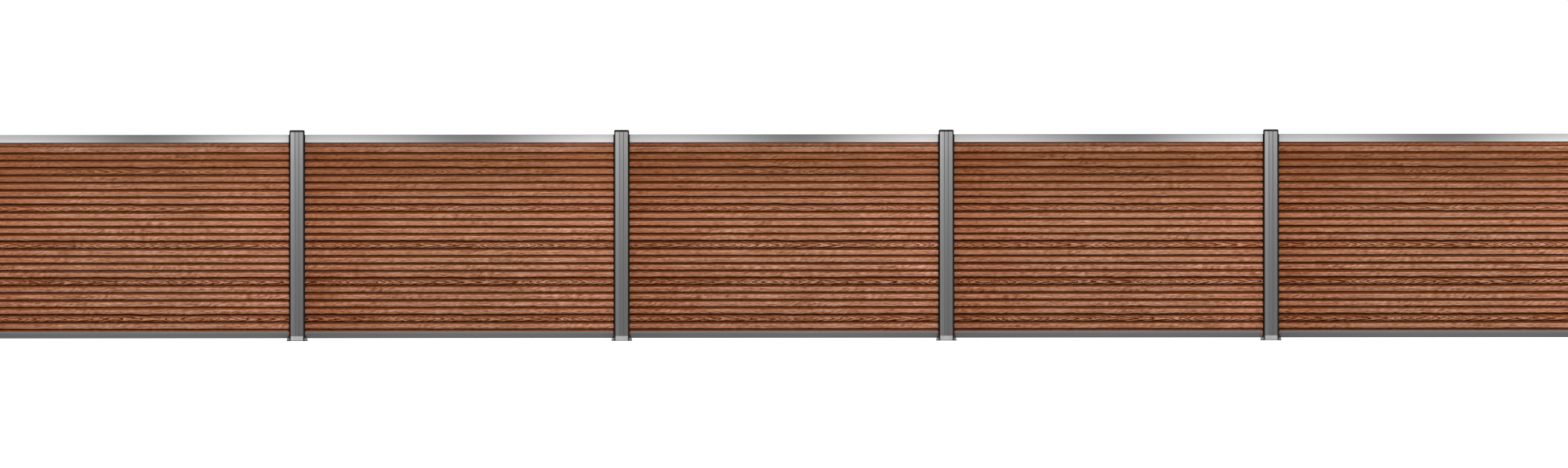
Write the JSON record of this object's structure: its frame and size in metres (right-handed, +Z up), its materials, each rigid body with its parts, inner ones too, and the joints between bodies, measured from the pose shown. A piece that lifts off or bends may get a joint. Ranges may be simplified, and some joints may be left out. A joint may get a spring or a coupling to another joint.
{
  "type": "composite fence",
  "caption": "Run of low horizontal-board fence: ribbed wood-composite boards slotted between aluminium posts on bolt-down bases, with channel rails above and below.",
  "frame": {"origin": "centre of the underside of the first post's base, at ground level", "axes": "+X along the fence towards the last post, -Y out of the front face, +Z up"},
  "size_m": [9.317, 0.128, 1.196],
  "materials": {
    "composite_board": "deep embossed wood grain, matt, warm brown wood-plastic composite",
    "dark_frame": "anthracite powder coat, fine satin",
    "silver_cover": "satin anodised, faint lines along the extrusion",
    "rail": "satin anodised, faint lines along the extrusion",
    "cast_base": "fine blasted casting",
    "black_plastic": "fine grained moulded plastic",
    "black_rubber": "matt extruded rubber"
  },
  "bodies": {
    "root": {"post_1": "dark_frame", "post_2": "dark_frame", "post_3": "dark_frame", "post_4": "dark_frame", "post_5": "dark_frame", "post_6": "dark_frame", "post_covers_1": "silver_cover", "post_covers_2": "silver_cover", "post_covers_3": "silver_cover", "post_covers_4": "silver_cover", "post_covers_5": "silver_cover", "post_covers_6": "silver_cover", "post_cap_1": "black_plastic", "post_cap_2": "black_plastic", "post_cap_3": "black_plastic", "post_cap_4": "black_plastic", "post_cap_5": "black_plastic", "post_cap_6": "black_plastic", "post_base_1": "cast_base", "post_base_2": "cast_base", "post_base_3": "cast_base", "post_base_4": "cast_base", "post_base_5": "cast_base", "post_base_6": "cast_base", "infill_boards_1": "composite_board", "infill_boards_2": "composite_board", "infill_boards_3": "composite_board", "infill_boards_4": "composite_board", "infill_boards_5": "composite_board", "top_rail_1": "rail", "top_rail_2": "rail", "top_rail_3": "rail", "top_rail_4": "rail", "top_rail_5": "rail", "bottom_rail_1": "rail", "bottom_rail_2": "rail", "bottom_rail_3": "rail", "bottom_rail_4": "rail", "bottom_rail_5": "rail", "panel_seals_1": "black_rubber", "panel_seals_2": "black_rubber", "panel_seals_3": "black_rubber", "panel_seals_4": "black_rubber", "panel_seals_5": "black_rubber"}
  },
  "joints": []
}
